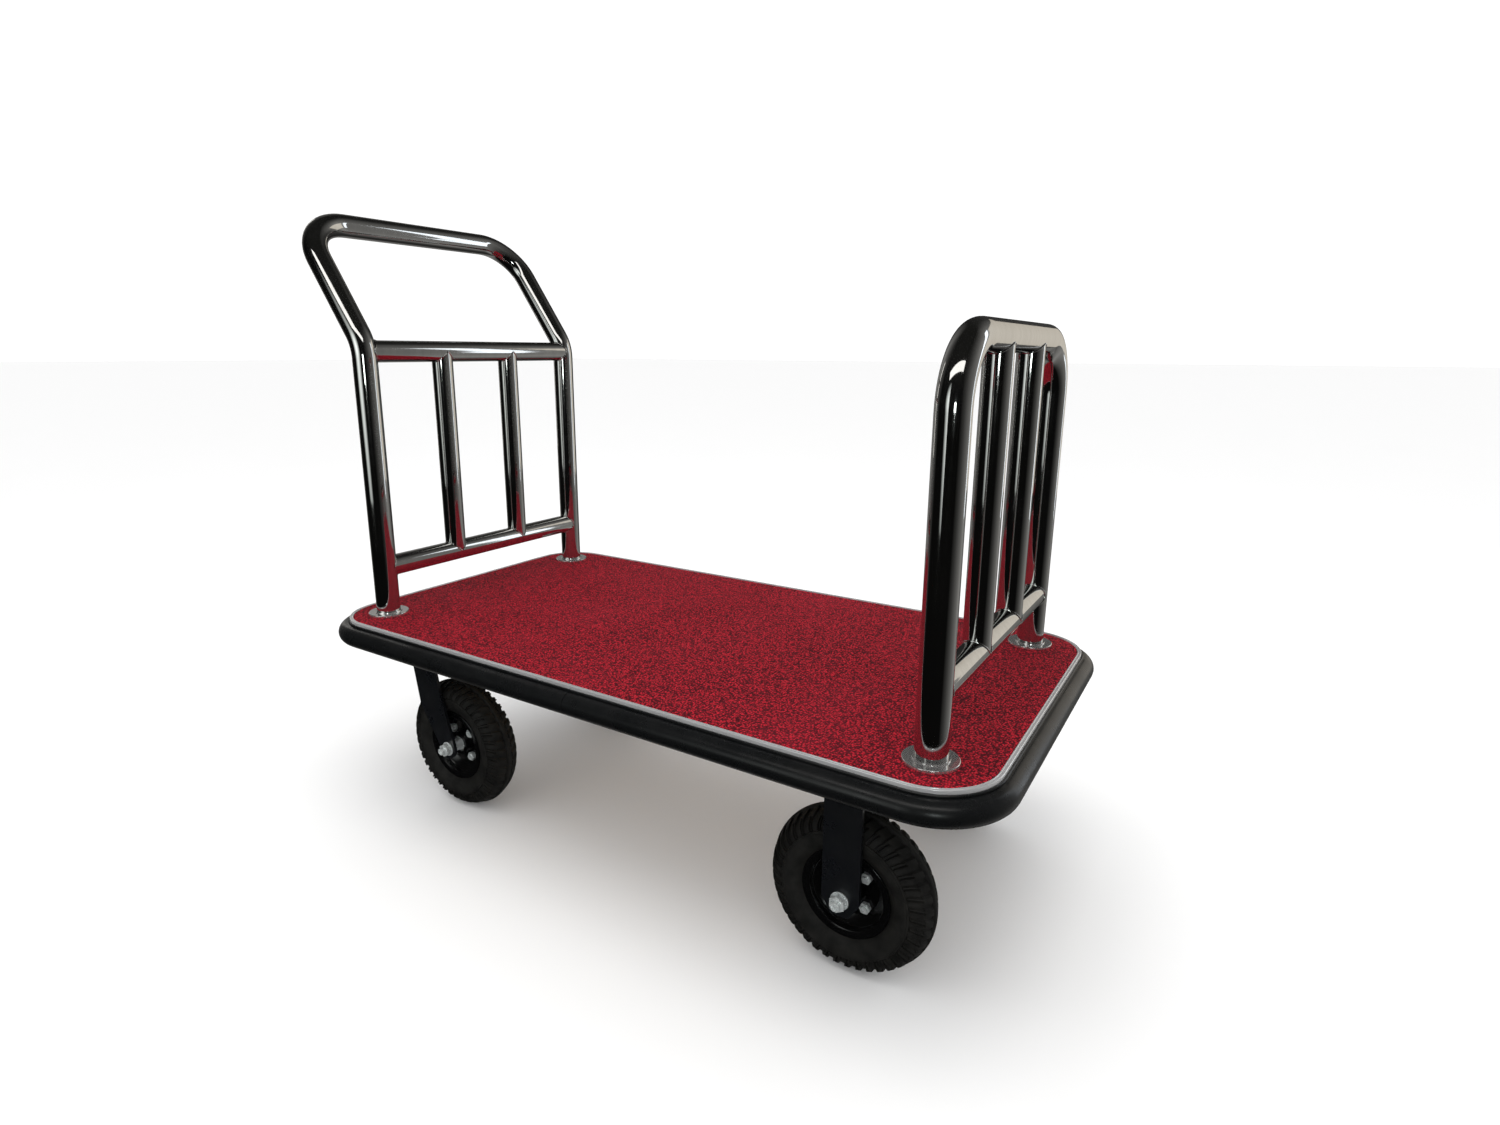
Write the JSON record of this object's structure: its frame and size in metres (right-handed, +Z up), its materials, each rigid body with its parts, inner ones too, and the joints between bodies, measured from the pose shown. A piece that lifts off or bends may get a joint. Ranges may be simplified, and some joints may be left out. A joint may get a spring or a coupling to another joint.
{
  "type": "luggage cart",
  "caption": "Flat carpeted platform cart with a leaning tube push handle, a low tube end frame, a rubber bumper, swivel casters and fixed casters with air tyres.",
  "frame": {"origin": "on the floor, under the middle of the cart's overall box", "axes": "+X along the deck from the push handle to the low end frame, +Y to the cart's left as seen by the person pushing it, +Z up"},
  "size_m": [1.2062, 0.615, 0.9701],
  "materials": {
    "carpet": "short looped pile",
    "board": "plain plywood",
    "bright_trim": "polished stainless steel",
    "bumper_rubber": "satin black extruded rubber",
    "zinc": "bright zinc plate",
    "polished_tube": "mirror-polished stainless steel",
    "black_steel": "satin-gloss black paint",
    "tyre": "matte rubber",
    "rim_paint": "gloss black paint"
  },
  "bodies": {
    "cart": {"carpet": "carpet", "deck_board": "board", "edge_trim": "bright_trim", "bumper": "bumper_rubber", "bumper_screws": "zinc", "frame_ring": "black_steel", "cross_members": "black_steel", "handle_loop": "polished_tube", "handle_rail_upper": "polished_tube", "handle_rail_lower": "polished_tube", "handle_slats": "polished_tube", "end_loop": "polished_tube", "end_rail": "polished_tube", "end_slats": "polished_tube", "post_flanges": "bright_trim", "post_plugs": "zinc", "post_washers": "zinc", "post_bolts": "zinc", "swivel_plate_right": "black_steel", "swivel_plate_left": "black_steel", "swivel_balls": "zinc", "kingpins": "zinc", "kingpin_nuts": "zinc", "rigid_bracket_right": "black_steel", "rigid_bracket_left": "black_steel", "rigid_axle_bolts": "zinc", "rigid_axle_nuts": "zinc", "caster_bolts": "zinc", "caster_nuts": "zinc"},
    "swivel_fork_right": {"fork_right": "black_steel", "fork_axle_bolt_right": "zinc", "fork_axle_nut_right": "zinc"},
    "swivel_fork_left": {"fork_left": "black_steel", "fork_axle_bolt_left": "zinc", "fork_axle_nut_left": "zinc"},
    "swivel_wheel_right": {"swivel_tyre_right": "tyre", "swivel_inner_tube_right": "tyre", "swivel_rim_outer_right": "rim_paint", "swivel_rim_inner_right": "rim_paint", "swivel_bearings_right": "zinc", "swivel_rim_bolts_right": "zinc"},
    "swivel_wheel_left": {"swivel_tyre_left": "tyre", "swivel_inner_tube_left": "tyre", "swivel_rim_outer_left": "rim_paint", "swivel_rim_inner_left": "rim_paint", "swivel_bearings_left": "zinc", "swivel_rim_bolts_left": "zinc"},
    "rigid_wheel_right": {"rigid_tyre_right": "tyre", "rigid_inner_tube_right": "tyre", "rigid_rim_outer_right": "rim_paint", "rigid_rim_inner_right": "rim_paint", "rigid_bearings_right": "zinc", "rigid_rim_bolts_right": "zinc"},
    "rigid_wheel_left": {"rigid_tyre_left": "tyre", "rigid_inner_tube_left": "tyre", "rigid_rim_outer_left": "rim_paint", "rigid_rim_inner_left": "rim_paint", "rigid_bearings_left": "zinc", "rigid_rim_bolts_left": "zinc"}
  },
  "joints": [
    {"name": "swivel_turn_right", "type": "hinge", "parent": "cart", "child": "swivel_fork_right", "pos_m": [-0.3424, -0.204, 0.26], "axis": [0, 0, 1], "continuous": true},
    {"name": "swivel_turn_left", "type": "hinge", "parent": "cart", "child": "swivel_fork_left", "pos_m": [-0.3424, 0.204, 0.26], "axis": [0, 0, 1], "continuous": true},
    {"name": "swivel_wheel_spin_right", "type": "hinge", "parent": "swivel_fork_right", "child": "swivel_wheel_right", "pos_m": [-0.2944, -0.204, 0.108], "axis": [0, 1, 0], "continuous": true},
    {"name": "swivel_wheel_spin_left", "type": "hinge", "parent": "swivel_fork_left", "child": "swivel_wheel_left", "pos_m": [-0.2944, 0.204, 0.108], "axis": [0, 1, 0], "continuous": true},
    {"name": "rigid_wheel_spin_right", "type": "hinge", "parent": "cart", "child": "rigid_wheel_right", "pos_m": [0.41361, -0.204, 0.108], "axis": [0, 1, 0], "continuous": true},
    {"name": "rigid_wheel_spin_left", "type": "hinge", "parent": "cart", "child": "rigid_wheel_left", "pos_m": [0.41361, 0.204, 0.108], "axis": [0, 1, 0], "continuous": true}
  ]
}
